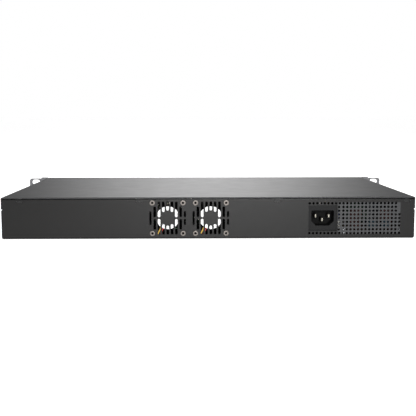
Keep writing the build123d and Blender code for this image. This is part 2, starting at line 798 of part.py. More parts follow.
with BuildPart() as board_chips:
    # The switch chip under the heatsink, and the smaller chips around it.
    block(around(chip_x, 17.5), around(chip_y, 17.5), (board_top, board_top + 1.2))
    block(around(chip_x, 13), around(chip_y, 13), (board_top + 1.2, chip_top))
    for x in (-94, -52, 2, 44):
        block(around(x, 6), around(-94, 6), (board_top, board_top + 1.2))
    for y in (-78, -62, -46):
        block(around(34, 7), around(y, 4.6), (board_top, board_top + 1.1))
    block(around(96, 10), around(-46, 10), (board_top, board_top + 2.0))
    block(around(150, 8), around(-46, 8), (board_top, board_top + 1.6))
    block(around(-150, 5), around(-70, 5), (board_top, board_top + 1.4))
save(board_chips, "board_chips")

with BuildPart() as board_capacitors:
    upright_capacitor([(-72, -6), (-61, -6), (-72, 6), (-61, 6), (150, -20), (161, -20)], 4.0, 9.0)
save(board_capacitors, "board_capacitors")

with BuildPart() as board_headers:
    block(around(dc_header_x, 3.5), (supply_y[0] - 2.5, supply_y[-1] + 2.5), (board_top, psu_output_top))
    for x in fan_x.values():
        block(around(x + 6, 4.3), (header_y - 6, header_y), (board_top, board_top + 6.6))
    fillet(board_headers.edges().filter_by(Axis.Z), 0.5)
save(board_headers, "board_headers")

supply_lead_top = 26.0

with BuildPart() as supply_leads:
    for y in supply_y:
        points = [
            (psu_input_x, y, psu_output_top), (psu_input_x, y, supply_lead_top),
            (dc_header_x, y, supply_lead_top), (dc_header_x, y, psu_output_top),
        ]
        lead(points, [5.4, 5.4], 0.9)
save(supply_leads, "supply_leads")

# ======================= front plates and their sockets =======================

block_half = jack_columns * jack_pitch / 2 + 0.5
block_middle = board_top + jack_row
cavity = (11.7, 8.2)
usb = (13.1, 5.8)
usb_depth = 14.0
usb_shell = 0.4
port_half = 2 * bay[0] + 2.5 * cage_wall
window_gap = 0.28
top_flange_reach = 205.0
air_x = 185.3
air_z = 22.0
air_pitch = 4.2
air_radius = 1.3
cage_top = board_top + bay[1] + 2 * cage_wall


def jacks():
    """Every jack as (x, middle z of its cavity, +1 where the latch points up)."""
    places = [(console_x, block_middle - jack_row / 2, -1)]
    for middle in jack_block_x:
        for column in range(jack_columns):
            x = middle + (column - (jack_columns - 1) / 2) * jack_pitch
            places.append((x, block_middle - jack_row / 2, -1))
            places.append((x, block_middle + jack_row / 2, 1))
    return places


console_half = jack_pitch / 2 + 0.9
jack_groups = [(console_x, console_half, jack_row)]
jack_groups += [(middle, block_half, 2 * jack_row) for middle in jack_block_x]


def cavity_outline(grow):
    """The mouths of all jacks: a wide part for the plug and a narrow step for its latch."""
    for x, z, up in jacks():
        with Locations((x, z - up * 0.5)):
            Rectangle(cavity[0] + 2 * grow, cavity[1] + 2 * grow)
        with Locations((x, z + up * cavity[1] / 2)):
            Rectangle(6.2 + 2 * grow, 1.9 + 2 * grow)


windows = [
    (console_x, board_top + jack_row / 2, 2 * console_half, jack_row),
    (usb_x, board_top + usb[1] / 2, usb[0], usb[1]),
    (jack_block_x[0], block_middle, 2 * block_half, 2 * jack_row),
    (jack_block_x[1], block_middle, 2 * block_half, 2 * jack_row),
    (port_x, (board_top + cage_top) / 2, 2 * port_half, cage_top - board_top),
]
round_holes = [(mode_x, button_z, 2.08), (reset_x, button_z, 1.28)]
round_holes += [(x, guide_z, 1.3) for x in guide_x]
for column in range(10):
    hole_x = air_x + (column - 4.5) * air_pitch
    round_holes += [(hole_x, air_z + (row - 3) * air_pitch, air_radius) for row in range(7)]

for name, spans in plates.items():
    with BuildPart() as plate:
        for low, high in spans:
            low += plate_gap
            high -= plate_gap
            with BuildSketch(across(front + plate_sheet)):
                with Locations(((low + high) / 2, (plate_low + panel_top) / 2)):
                    Rectangle(high - low, panel_top - plate_low)
                for x, z, wide, tall in [window for window in windows if low < window[0] < high]:
                    with Locations((x, z)):
                        Rectangle(wide + 2 * window_gap, tall + 2 * window_gap, mode=Mode.SUBTRACT)
                for x, z, radius in [hole for hole in round_holes if low < hole[0] < high]:
                    with Locations((x, z)):
                        Circle(radius, mode=Mode.SUBTRACT)
            extrude(amount=plate_sheet)
            # Flanges on the floor and under the cover.
            block((low, high), (front + plate_sheet, front + 14), (plate_low, plate_low + plate_sheet))
            top_x = (max(low, -top_flange_reach), min(high, top_flange_reach))
            block(top_x, (front + plate_sheet, front + 7), (panel_top - plate_sheet, panel_top))
        # The outer plates also have a flange beside the tray's wall.
        side_y = (front + plate_sheet, front + 8)
        side_z = (plate_low, panel_top - 1.5)
        if name == "ports":
            block((spans[0][0] + plate_gap, spans[0][0] + plate_gap + plate_sheet), side_y, side_z)
        if name == "vent":
            block((spans[0][1] - plate_gap - plate_sheet, spans[0][1] - plate_gap), side_y, side_z)
        face_edges = plate.edges().filter_by(Axis.X).filter_by_position(Axis.Y, front - 0.01, front + 0.01)
        ends = (plate_low, panel_top)
        fillet(face_edges.filter_by(lambda e: min(abs(e.center().Z - z) for z in ends) < 0.1), 1.1)
        own_screws = [p for p in plate_places if spans[0][0] < p.origin.X < spans[-1][1]]
        post(lifted(own_screws, -5), 1.6, 5, Mode.SUBTRACT)
    save(plate, f"front_plate_{name}")

for name, groups in (("console_housing", jack_groups[:1]), ("jack_housings", jack_groups[1:])):
    with BuildPart() as housing:
        for x, half, tall in groups:
            block_z = (board_top, board_top + tall - shield)
            block(around(x, half - shield), (jack_face, jack_face + jack_depth), block_z)
        with BuildSketch(across(jack_face + 15)):
            cavity_outline(0)
        extrude(amount=16, mode=Mode.SUBTRACT)
    save(housing, name)

with BuildPart() as jack_shields:
    for x, half, tall in jack_groups:
        outer_y = (jack_face - shield, jack_face + jack_depth + shield)
        inner_z = (board_top - 1, board_top + tall - shield)
        block(around(x, half), outer_y, (board_top, board_top + tall))
        block(around(x, half - shield), (jack_face, jack_face + jack_depth), inner_z, Mode.SUBTRACT)
    with BuildSketch(across(jack_face)):
        cavity_outline(0.15)
    extrude(amount=1, mode=Mode.SUBTRACT)
save(jack_shields, "jack_shields")

contact_pitch = 1.02


def contact(up):
    """One sprung contact, which slopes away from the cavity's wall opposite the latch."""
    wall_z = -up * (cavity[1] / 2 + 0.5)
    with BuildPart() as strip:
        with BuildSketch(Plane.YZ):
            with BuildLine():
                Polyline(
                    (jack_face + 9.0, wall_z), (jack_face + 10.0, wall_z),
                    (jack_face + 15.0, wall_z + up * 2.4), (jack_face + 15.0, wall_z + up * 2.9), close=True,
                )
            make_face()
        extrude(amount=0.2, both=True)
    return strip.part


with BuildPart() as jack_contacts:
    for up in (-1, 1):
        middles = [(x, z) for x, z, latch in jacks() if latch == up]
        spots = [(x + (i - 3.5) * contact_pitch, 0, z) for x, z in middles for i in range(8)]
        with Locations(*spots):
            add(contact(up))
save(jack_contacts, "jack_contacts")

bay_middles = [port_x + (index - 1.5) * (bay[0] + cage_wall) for index in range(4)]
cage_front = front - 0.4

with BuildPart() as sfp_cage:
    block(around(port_x, port_half), (cage_front, cage_front + cage_depth), (board_top, cage_top))
    inside_y = (cage_front - 0.6, cage_front + cage_depth - cage_wall)
    inside_z = (board_top + cage_wall, cage_top - cage_wall)
    for middle in bay_middles:
        block(around(middle, bay[0] / 2), inside_y, inside_z, Mode.SUBTRACT)
        block(around(middle, 6.6), (front + 35, front + 45.5), (board_top - 1, board_top + 1), Mode.SUBTRACT)
save(sfp_cage, "sfp_cage")

with BuildPart() as sfp_connectors:
    for middle in bay_middles:
        block(around(middle, 6.3), (front + 35.5, front + 45), (board_top, board_top + 6.2))
        block(around(middle, 5.2), (front + 35, front + 41), around(board_top + 4.2, 0.7), Mode.SUBTRACT)
save(sfp_connectors, "sfp_connectors")

with BuildPart() as usb_port:
    # Metal shell and the tongue inside it.
    usb_top = board_top + usb[1]
    inside_z = (board_top + usb_shell, usb_top - usb_shell)
    block(around(usb_x, usb[0] / 2), (cage_front, cage_front + usb_depth), (board_top, usb_top))
    inside_y = (cage_front - 0.6, cage_front + usb_depth - 2)
    block(around(usb_x, usb[0] / 2 - usb_shell), inside_y, inside_z, Mode.SUBTRACT)
    block(around(usb_x, 5.5), (front + 1, front + usb_depth - 2), around(board_top + 3.7, 0.9))
save(usb_port, "usb_port")

with BuildPart() as light_guides:
    # Clear rods reach the panel from uprights that a bar joins.
    post([Plane(origin=(x, front - 0.1, guide_z), z_dir=(0, 1, 0)) for x in guide_x], 1.2, 9.0)
    block((guide_x[0] - 2, guide_x[-1] + 2), (front + 8, front + 10), (guide_z - 2, guide_z + 2))
    block((guide_x[0] - 2, guide_x[-1] + 2), (front + 10, front + 32), (guide_z + 0.5, guide_z + 2))
    for x in (guide_x[0] - 0.5, guide_x[-1] + 0.5):
        block(around(x, 1.5), (front + 29, front + 32), (board_top, guide_z + 2))
save(light_guides, "light_guides")

stop_gap = 0.3
stop_y = front + plate_sheet + stop_gap
switch_y = stop_y + 1.0 + 4.0
stem_in_switch = 1.8


def push_button(x, radius, proud):
    """A round cap, a stop flange behind the panel and a stem that enters the switch."""
    with BuildPart() as button:
        tip = [Plane(origin=(x, front - proud, button_z), z_dir=(0, 1, 0))]
        post(tip, radius, stop_y - front + proud)
        rim = button.edges().filter_by(GeomType.CIRCLE).group_by(Axis.Y)[0]
        fillet(rim, 0.3)
        stop = [Plane(origin=(x, stop_y, button_z), z_dir=(0, 1, 0))]
        post(stop, radius + 0.9, 1.0)
        post(stop, 1.0, switch_y - stop_y + stem_in_switch)
    return button


save(push_button(reset_x, 1.2, -0.3), "reset_button")
save(push_button(mode_x, 2.0, 0.8), "mode_button")

with BuildPart() as button_switches:
    for x in (reset_x, mode_x):
        block(around(x, 3.2), (switch_y, switch_y + 4.4), (board_top, board_top + 6.8))
    bores = [Plane(origin=(x, switch_y - 0.1, button_z), z_dir=(0, 1, 0)) for x in (reset_x, mode_x)]
    post(bores, 1.07, 0.1 + stem_in_switch + button_travel + 0.3, Mode.SUBTRACT)
save(button_switches, "button_switches")
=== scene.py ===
import math

import bmesh
import bpy
from mathutils import Matrix, Vector


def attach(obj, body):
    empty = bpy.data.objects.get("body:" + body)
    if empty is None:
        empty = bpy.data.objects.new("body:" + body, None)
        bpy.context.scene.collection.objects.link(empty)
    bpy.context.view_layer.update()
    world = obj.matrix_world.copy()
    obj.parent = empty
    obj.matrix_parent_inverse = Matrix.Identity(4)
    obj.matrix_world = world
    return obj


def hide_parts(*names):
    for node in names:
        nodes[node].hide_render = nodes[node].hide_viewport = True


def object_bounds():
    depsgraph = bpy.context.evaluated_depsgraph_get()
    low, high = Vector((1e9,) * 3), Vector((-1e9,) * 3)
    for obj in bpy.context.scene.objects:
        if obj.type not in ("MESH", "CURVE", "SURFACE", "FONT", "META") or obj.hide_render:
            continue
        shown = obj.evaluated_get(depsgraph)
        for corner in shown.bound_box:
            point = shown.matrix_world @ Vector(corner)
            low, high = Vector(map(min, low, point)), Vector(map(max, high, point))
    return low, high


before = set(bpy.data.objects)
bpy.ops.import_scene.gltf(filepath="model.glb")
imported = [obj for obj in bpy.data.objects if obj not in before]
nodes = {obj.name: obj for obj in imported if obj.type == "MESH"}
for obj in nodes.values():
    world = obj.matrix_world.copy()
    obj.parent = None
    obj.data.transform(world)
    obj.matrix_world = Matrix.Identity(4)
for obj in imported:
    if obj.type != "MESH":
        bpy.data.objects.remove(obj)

cad_low, cad_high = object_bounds()
scene = bpy.context.scene

# All lengths are in metres, in the frame's axes: +Z up, the sockets towards -Y, the fans towards +Y.

# Each pair is where a painted change starts and where it is complete: the painted highlight on the rear
# face, and the painted shade on the hooks, in the fan screws' sockets, on the inlet's pins and in its
# socket.
rear_face = (0.12985, 0.12998)
hook_heights = (0.0412, 0.0420)
hook_depths = (0.1272, 0.1276)
hook_reach = (0.2105, 0.2110)
fan_screw_socket = (0.1296, 0.1303)
pin_shade = (0.1150, 0.1250)
inlet_socket = (0.1285, 0.1297)

# The perforated part of the rear panel, where the face between the holes is painted paler as a painted
# highlight for the glints on the hole rims: its X values, its Z values, and its two colours.
vent_glint_field = ((-0.2008, -0.1350), (0.0045, 0.0382))
vent_glint_colours = ((0.034, 0.035, 0.036), (0.041, 0.042, 0.044))
soft_edge = 0.0005
# unlit is the near black of painted shade, for the hooks in their slots and the inside of the inlet's
# socket.
unlit = (0.001, 0.001, 0.001)


# ---------------------------------------------------------------- materials

class Surface:
    """A node material in the making: helper calls add texture nodes in object space."""

    def __init__(self, name):
        self.material = bpy.data.materials.new(name)
        self.material.use_nodes = True
        self.tree = self.material.node_tree
        self.shader = self.tree.nodes["Principled BSDF"]
        self.place = self.tree.nodes.new("ShaderNodeTexCoord").outputs["Object"]

    def node(self, kind, **values):
        """A new node with plain settings."""
        made = self.tree.nodes.new(kind)
        for key, value in values.items():
            setattr(made, key, value)
        return made

    def link(self, out, into):
        self.tree.links.new(out, into)

    def set(self, **values):
        """Plain values on the shader's own sockets."""
        for key, value in values.items():
            self.shader.inputs[key.replace("_", " ")].default_value = value

    def stretched(self, x, y, z):
        """Texture coordinates scaled along each axis, so a small scale draws a texture out."""
        mapping = self.node("ShaderNodeMapping")
        mapping.inputs["Scale"].default_value = (x, y, z)
        self.link(self.place, mapping.inputs["Vector"])
        return mapping.outputs["Vector"]

    def noise(self, size, detail=3.0, place=None, roughness=0.55):
        """Noise whose blobs measure about size, in metres."""
        made = self.node("ShaderNodeTexNoise")
        made.inputs["Scale"].default_value = 1.0 / size
        made.inputs["Detail"].default_value = detail
        made.inputs["Roughness"].default_value = roughness
        self.link(place or self.place, made.inputs["Vector"])
        return made.outputs["Fac"]

    def spread(self, value, low, high, start=0.3, stop=0.7):
        """A value between start and stop, mapped to run from low to high."""
        made = self.node("ShaderNodeMapRange")
        made.inputs["From Min"].default_value = start
        made.inputs["From Max"].default_value = stop
        made.inputs["To Min"].default_value = low
        made.inputs["To Max"].default_value = high
        self.link(value, made.inputs["Value"])
        return made.outputs["Result"]

    def maths(self, operation, first, second):
        """Two values put together; either may be a plain number."""
        made = self.node("ShaderNodeMath", operation=operation)
        for socket, value in zip(made.inputs, (first, second)):
            if isinstance(value, float):
                socket.default_value = value
            else:
                self.link(value, socket)
        return made.outputs["Value"]

    def axis(self, letter):
        """The place along one axis, in metres."""
        split = self.node("ShaderNodeSeparateXYZ")
        self.link(self.place, split.inputs["Vector"])
        return split.outputs[letter]

    def edges(self, radius):
        """1 on edges sharper than a radius in metres, 0 on flat faces."""
        rounded = self.node("ShaderNodeBevel", samples=4)
        rounded.inputs["Radius"].default_value = radius
        flat = self.node("ShaderNodeNewGeometry").outputs["Normal"]
        dot = self.node("ShaderNodeVectorMath", operation="DOT_PRODUCT")
        self.link(rounded.outputs["Normal"], dot.inputs[0])
        self.link(flat, dot.inputs[1])
        return self.spread(dot.outputs["Value"], 1.0, 0.0, 0.78, 0.99)

    def between(self, letter, low, high):
        """1 where the place along an axis is between two values, 0 elsewhere."""
        above = self.spread(self.axis(letter), 0.0, 1.0, low, low + soft_edge)
        below = self.spread(self.axis(letter), 1.0, 0.0, high - soft_edge, high)
        return self.maths("MULTIPLY", above, below)

    def wear(self, radius, amount):
        """Broken wear along edges, from 0 to an amount."""
        patches = self.spread(self.noise(0.004, 4), 0.2, 1.0, 0.4, 0.6)
        return self.maths("MULTIPLY", self.maths("MULTIPLY", self.edges(radius), patches), amount)

    def mixed(self, factor, first, second):
        """One colour into another by a factor; a colour is a tuple or an output."""
        made = self.node("ShaderNodeMix", data_type="RGBA")
        self.link(factor, made.inputs["Factor"])
        # The node has sockets of the same name for each data type; these are the colour ones.
        colour_a, colour_b, colour_result = made.inputs[6], made.inputs[7], made.outputs[2]
        for socket, colour in ((colour_a, first), (colour_b, second)):
            if isinstance(colour, tuple):
                socket.default_value = (*colour, 1.0)
            else:
                self.link(colour, socket)
        return colour_result

    def bump(self, height, strength, distance, below=None):
        """A surface normal shaped by a height, over another bump if one is given."""
        made = self.node("ShaderNodeBump")
        made.inputs["Strength"].default_value = strength
        made.inputs["Distance"].default_value = distance
        self.link(height, made.inputs["Height"])
        if below is not None:
            self.link(below, made.inputs["Normal"])
        return made.outputs["Normal"]

    def colour(self, value):
        if isinstance(value, tuple):
            self.shader.inputs["Base Color"].default_value = (*value, 1.0)
        else:
            self.link(value, self.shader.inputs["Base Color"])

    def rough(self, value):
        self.link(value, self.shader.inputs["Roughness"])

    def normal(self, value):
        self.link(value, self.shader.inputs["Normal"])


def shade(colour, amount):
    """A colour made lighter (over 1) or darker (under 1)."""
    return tuple(min(1.0, part * amount) for part in colour)


def powder_coat(name, colour, roughness, gloss=0.5, grain=0.0007, relief=0.5, glint_field=None):
    """Baked powder paint: an orange-peel relief, faint blotches, a fine speckle, rubbed edges.

    The rear face is painted paler within glint_field, given as its X and its Z values: a painted
    highlight for the glints on the hole rims."""
    s = Surface(name)
    blotch = s.spread(s.noise(0.05, 4), 0.0, 1.0)
    speckle = s.spread(s.noise(0.0004, 2), 0.0, 1.0, 0.35, 0.65)
    base = s.mixed(blotch, shade(colour, 0.94), shade(colour, 1.06))
    base = s.mixed(speckle, base, shade(colour, 1.12))
    base = s.mixed(s.wear(0.0006, 0.5), base, shade(colour, 2.2))
    # Painted highlight: the face between the vent holes is painted paler, standing for the glints on
    # the hole rims.
    if glint_field:
        on_face = s.spread(s.axis("Y"), 0.0, 1.0, *rear_face)
        within = s.maths("MULTIPLY", s.between("X", *glint_field[0]), s.between("Z", *glint_field[1]))
        painted_glints = s.maths("MULTIPLY", on_face, within)
        base = s.mixed(painted_glints, base, s.mixed(blotch, *vent_glint_colours))
    s.colour(base)
    s.rough(s.spread(s.noise(0.006, 5), roughness - 0.015, roughness + 0.015))
    peel = s.bump(s.noise(grain, 2), relief, 0.00006)
    s.normal(s.bump(s.noise(0.004, 2), 0.15, 0.0002, peel))
    s.set(Specular_IOR_Level=gloss)
    return s.material


def satin_cover(name, colour):
    """Satin paint on rolled sheet: fine grain across the cover, rubbed edges, and painted shade on the
    hooks, which are painted near black where they sit in the rear slots.
    """
    s = Surface(name)
    along = s.stretched(0.02, 1.0, 1.0)
    grain = s.noise(0.0007, 4, along)
    wide = s.noise(0.006, 3, along)
    base = s.mixed(s.spread(grain, 0.0, 1.0), shade(colour, 0.93), shade(colour, 1.07))
    base = s.mixed(s.spread(wide, 0.0, 1.0), base, shade(colour, 0.97))
    base = s.mixed(s.wear(0.0006, 0.5), base, shade(colour, 2.0))
    # Painted shade: the hooks, low at the rear and within reach of the sides, are painted near black
    # where they sit in the rear slots.
    low_part = s.spread(s.axis("Z"), 1.0, 0.0, *hook_heights)
    rear_part = s.spread(s.axis("Y"), 0.0, 1.0, *hook_depths)
    inside = s.spread(s.maths("ABSOLUTE", s.axis("X"), 0.0), 1.0, 0.0, *hook_reach)
    hooks_painted_shade = s.maths("MULTIPLY", s.maths("MULTIPLY", low_part, rear_part), inside)
    s.colour(s.mixed(hooks_painted_shade, base, unlit))
    s.rough(s.spread(s.noise(0.02, 4), 0.42, 0.45))
    fine = s.bump(grain, 0.12, 0.00004)
    s.normal(s.bump(s.noise(0.0006, 2), 0.25, 0.00005, fine))
    s.set(Specular_IOR_Level=0.3)
    return s.material


def metal(name, colour, roughness, brushed=(1.0, 1.0, 1.0)):
    """Plated or raw metal with fine scratches, slight staining and polished edges."""
    s = Surface(name)
    scratches = s.noise(0.0006, 4, s.stretched(*brushed))
    stains = s.noise(0.004, 3)
    base = s.mixed(s.spread(stains, 0.0, 1.0), shade(colour, 0.85), shade(colour, 1.05))
    s.colour(s.mixed(s.wear(0.0002, 0.6), base, shade(colour, 1.25)))
    s.rough(s.spread(scratches, roughness - 0.08, roughness + 0.12))
    s.normal(s.bump(scratches, 0.2, 0.00002))
    s.set(Metallic=1.0)
    return s.material


def screw_metal(name, colour, roughness, bottom, top):
    """Metal with painted shade in its recess: painted black below a height along Y, as in a screw's
    drive socket.
    """
    s = Surface(name)
    turned = s.noise(0.0004, 3)
    # Painted shade: below the height the colour goes to near black.
    unshaded_part = s.spread(s.axis("Y"), 0.0, 1.0, bottom, top)
    shine = s.mixed(s.spread(s.noise(0.002, 3), 0.0, 1.0), shade(colour, 0.85), shade(colour, 1.05))
    s.colour(s.mixed(unshaded_part, shade(colour, 0.03), shine))
    s.rough(s.spread(turned, roughness - 0.06, roughness + 0.1))
    s.normal(s.bump(turned, 0.2, 0.00002))
    s.set(Metallic=1.0)
    return s.material


def plastic(name, colour, roughness=0.5, grain=0.0006, relief=0.3, gloss=0.5):
    """Moulded plastic with a spark-eroded grain and slightly paler edges."""
    s = Surface(name)
    base = s.mixed(s.spread(s.noise(0.01, 3), 0.0, 1.0), shade(colour, 0.88), shade(colour, 1.1))
    s.colour(s.mixed(s.wear(0.0003, 0.4), base, shade(colour, 1.6)))
    s.rough(s.spread(s.noise(0.003, 3), roughness - 0.06, roughness + 0.06))
    s.normal(s.bump(s.noise(grain, 2), relief, 0.00004))
    s.set(Specular_IOR_Level=gloss)
    return s.material


def inlet_plastic(name, colour, roughness, gloss, bottom, top):
    """Moulded plastic with painted shade inside its socket: painted near black and duller below a
    height along Y.
    """
    s = Surface(name)
    base = s.mixed(s.spread(s.noise(0.01, 3), 0.0, 1.0), shade(colour, 0.88), shade(colour, 1.1))
    base = s.mixed(s.wear(0.0004, 0.8), base, shade(colour, 5.0))
    # Painted shade: below the face, inside the socket, the colour goes to near black.
    face = s.spread(s.axis("Y"), 0.0, 1.0, bottom, top)
    s.colour(s.mixed(face, unlit, base))
    s.rough(s.spread(face, 0.8, roughness, 0.0, 1.0))
    s.normal(s.bump(s.noise(0.0006, 2), 0.3, 0.00004))
    s.set(Specular_IOR_Level=gloss)
    return s.material


def winding(name, colour, pitch, axis):
    """Enamelled wire laid side by side, with a painted highlight along each turn and painted shade
    between turns.
    """
    s = Surface(name)
    wave = s.node("ShaderNodeTexWave", wave_type="BANDS", bands_direction=axis)
    wave.inputs["Scale"].default_value = math.pi / 10 / pitch
    wave.inputs["Distortion"].default_value = 0.4
    s.link(s.place, wave.inputs["Vector"])
    turns_and_painted_sheen = wave.outputs["Fac"]
    # Painted highlight and shade: each turn is paler along a line and darker towards the grooves
    # between turns.
    s.colour(s.mixed(turns_and_painted_sheen, shade(colour, 0.35), shade(colour, 1.1)))
    s.rough(s.spread(s.noise(0.002, 3), 0.22, 0.36))
    s.normal(s.bump(turns_and_painted_sheen, 0.6, 0.0002))
    s.set(Metallic=0.8)
    return s.material


def circuit_board(name, mask, bare):
    """Solder mask over copper tracks and ground planes, with tinned pads."""
    s = Surface(name)
    cells = s.node("ShaderNodeTexVoronoi", feature="F1", distance="CHEBYCHEV")
    cells.inputs["Scale"].default_value = 420.0
    cells.inputs["Randomness"].default_value = 0.55
    s.link(s.place, cells.inputs["Vector"])
    tracks = s.spread(cells.outputs["Distance"], 0.0, 1.0, 0.38, 0.42)
    pads = s.spread(cells.outputs["Distance"], 1.0, 0.0, 0.06, 0.10)
    board = s.mixed(tracks, mask, bare)
    s.colour(s.mixed(s.maths("MULTIPLY", pads, 0.7), board, (0.55, 0.56, 0.55)))
    s.rough(s.spread(s.noise(0.004, 3), 0.3, 0.42))
    s.normal(s.bump(tracks, 0.3, 0.00005))
    return s.material


def clear_lens(name, colour):
    """Clear or tinted acrylic."""
    s = Surface(name)
    s.colour(s.mixed(s.spread(s.noise(0.003, 2), 0.0, 1.0), shade(colour, 0.9), colour))
    s.rough(s.spread(s.noise(0.002, 2), 0.08, 0.16))
    s.normal(s.bump(s.noise(0.0008, 2), 0.1, 0.00003))
    s.set(Transmission_Weight=0.5, IOR=1.49)
    return s.material


def film(name, colour, mark):
    """Printed film with faint grey marks."""
    s = Surface(name)
    marks = s.spread(s.noise(0.0022, 2), 0.0, 1.0, 0.58, 0.64)
    base = s.mixed(s.spread(s.noise(0.01, 3), 0.0, 1.0), shade(colour, 0.96), colour)
    s.colour(s.mixed(marks, base, mark))
    s.rough(s.spread(s.noise(0.003, 2), 0.38, 0.5))
    s.normal(s.bump(s.noise(0.001, 2), 0.1, 0.00003))
    return s.material


tray_paint = powder_coat("tray_paint", (0.0070, 0.0068, 0.0067), 0.30, 0.17, glint_field=vent_glint_field)
cover_paint = satin_cover("cover_paint", (0.022, 0.022, 0.023))
panel_paint = powder_coat("panel_paint", (0.03, 0.03, 0.032), 0.42)
ear_paint = powder_coat("ear_paint", (0.10, 0.10, 0.105), 0.45)
nickel = metal("nickel", (0.62, 0.58, 0.50), 0.32)
fan_screw_metal = screw_metal("fan_screw_metal", (0.11, 0.10, 0.092), 0.36, *fan_screw_socket)
pin_metal = screw_metal("pin_metal", (0.22, 0.21, 0.18), 0.34, *pin_shade)
zinc = metal("zinc", (0.60, 0.62, 0.65), 0.38)
sink_metal = metal("sink_metal", (0.06, 0.06, 0.065), 0.5, (0.1, 1.0, 1.0))
bronze = metal("bronze", (0.55, 0.36, 0.18), 0.45)
copper = winding("copper", (0.72, 0.30, 0.12), 0.0006, "Y")
gold = metal("gold", (0.85, 0.62, 0.25), 0.25)
can_top = metal("can_top", (0.30, 0.30, 0.31), 0.5)
# fan_black is darker than black plastic is: painted shade, so the frame behind the rear slots reads as
# shadow.
fan_black = plastic("fan_black", (0.0018, 0.0018, 0.0020), 0.7, gloss=0.03)
inlet_black = inlet_plastic("inlet_black", (0.009, 0.009, 0.010), 0.40, 0.20, *inlet_socket)
jack_black = plastic("jack_black", (0.012, 0.012, 0.013), 0.5)
package_black = plastic("package_black", (0.008, 0.008, 0.009), 0.5, gloss=0.2)
ferrite = plastic("ferrite", (0.008, 0.008, 0.009), 0.6, 0.001, 0.5, 0.15)
tape = plastic("tape", (0.07, 0.045, 0.01), 0.45, 0.003, 0.15, 0.2)
can_sleeve = plastic("can_sleeve", (0.006, 0.008, 0.02), 0.4, 0.004, 0.1, 0.2)
# These three inner parts are coloured darker than they are: painted shade deep inside the case.
film_red = plastic("film_red", (0.035, 0.005, 0.004), 0.5, 0.002, 0.15, 0.15)
disc_blue = plastic("disc_blue", (0.003, 0.024, 0.040), 0.5, 0.002, 0.2, 0.15)
choke_green = plastic("choke_green", (0.005, 0.022, 0.010), 0.5, gloss=0.15)
socket_white = plastic("socket_white", (0.42, 0.41, 0.37), 0.45)
button_grey = plastic("button_grey", (0.16, 0.16, 0.165), 0.4)
lens_clear = clear_lens("lens_clear", (0.85, 0.88, 0.88))
lead_yellow = plastic("lead_yellow", (0.70, 0.45, 0.08), 0.4)
lead_red = plastic("lead_red", (0.36, 0.008, 0.010), 0.4)
lead_black = plastic("lead_black", (0.012, 0.012, 0.012), 0.4)
lead_brown = plastic("lead_brown", (0.10, 0.035, 0.012), 0.4)
lead_blue = plastic("lead_blue", (0.004, 0.012, 0.05), 0.4)
lead_green = plastic("lead_green", (0.06, 0.32, 0.05), 0.4)
board_green = circuit_board("board_green", (0.012, 0.075, 0.028), (0.02, 0.12, 0.045))
board_tan = circuit_board("board_tan", (0.08, 0.05, 0.02), (0.10, 0.065, 0.027))
label_white = film("label_white", (0.93, 0.93, 0.93), (0.70, 0.70, 0.72))
ink_white = film("ink_white", (0.62, 0.62, 0.62), (0.50, 0.50, 0.50))

finishes = {
    tray_paint: ["base_tray"],
    cover_paint: ["top_cover"],
    panel_paint: ["front_plate_ports", "front_plate_jacks", "front_plate_optics", "front_plate_vent"],
    ear_paint: ["ear_left", "ear_right"],
    zinc: ["ear_screws", "case_screws", "clinch_nuts", "board_screws", "board_spacers"],
    fan_screw_metal: ["fan_screws"],
    pin_metal: ["inlet_pins"],
    nickel: ["jack_shields", "sfp_cage", "usb_port"],
    sink_metal: ["psu_heatsinks", "switch_heatsink"],
    gold: ["jack_contacts"],
    inlet_black: ["inlet_housing"],
    jack_black: ["console_housing", "jack_housings", "sfp_connectors", "button_switches"],
    package_black: ["psu_transistors", "board_chips"],
    ferrite: ["psu_transformer_core"],
    tape: ["psu_transformer_coil"],
    can_sleeve: ["psu_capacitors", "board_capacitors"],
    film_red: ["psu_film_capacitors"],
    disc_blue: ["psu_disc_capacitors"],
    choke_green: ["psu_choke"],
    socket_white: ["psu_connectors", "board_headers"],
    button_grey: ["reset_button", "mode_button"],
    lens_clear: ["light_guides"],
    lead_brown: ["line_lead"],
    lead_blue: ["neutral_lead"],
    lead_green: ["earth_lead"],
    lead_red: ["supply_leads"],
    board_green: ["main_board"],
    board_tan: ["psu_board"],
}
for number in (1, 2):
    for material, part in (
        (fan_black, "frame"), (fan_black, "rotor"), (nickel, "shaft"), (bronze, "bearing"),
        (copper, "stator"), (label_white, "label"), (lead_yellow, "leads"),
    ):
        finishes.setdefault(material, []).append(f"fan_{number}_{part}")

for material, names in finishes.items():
    for name in names:
        mesh = nodes[name].data
        mesh.materials.clear()
        mesh.materials.append(material)


# ---------------------------------------------------------------- pieces with several finishes

def solids_of(mesh):
    """Each separate solid's polygons and box corners, in order along X."""
    places = {}
    spot = []
    for vertex in mesh.vertices:
        place = tuple(round(part, 6) for part in vertex.co)
        spot.append(places.setdefault(place, len(places)))
    parent = list(range(len(places)))

    def top(index):
        while parent[index] != index:
            parent[index] = parent[parent[index]]
            index = parent[index]
        return index

    for polygon in mesh.polygons:
        first = spot[polygon.vertices[0]]
        for vertex in polygon.vertices[1:]:
            parent[top(spot[vertex])] = top(first)
    groups = {}
    for polygon in mesh.polygons:
        groups.setdefault(top(spot[polygon.vertices[0]]), []).append(polygon)
    found = []
    for polygons in groups.values():
        corners = [mesh.vertices[vertex].co for polygon in polygons for vertex in polygon.vertices]
        low = Vector([min(corner[axis] for corner in corners) for axis in range(3)])
        high = Vector([max(corner[axis] for corner in corners) for axis in range(3)])
        found.append((polygons, low, high))
    return sorted(found, key=lambda solid: tuple(solid[1] + solid[2]))


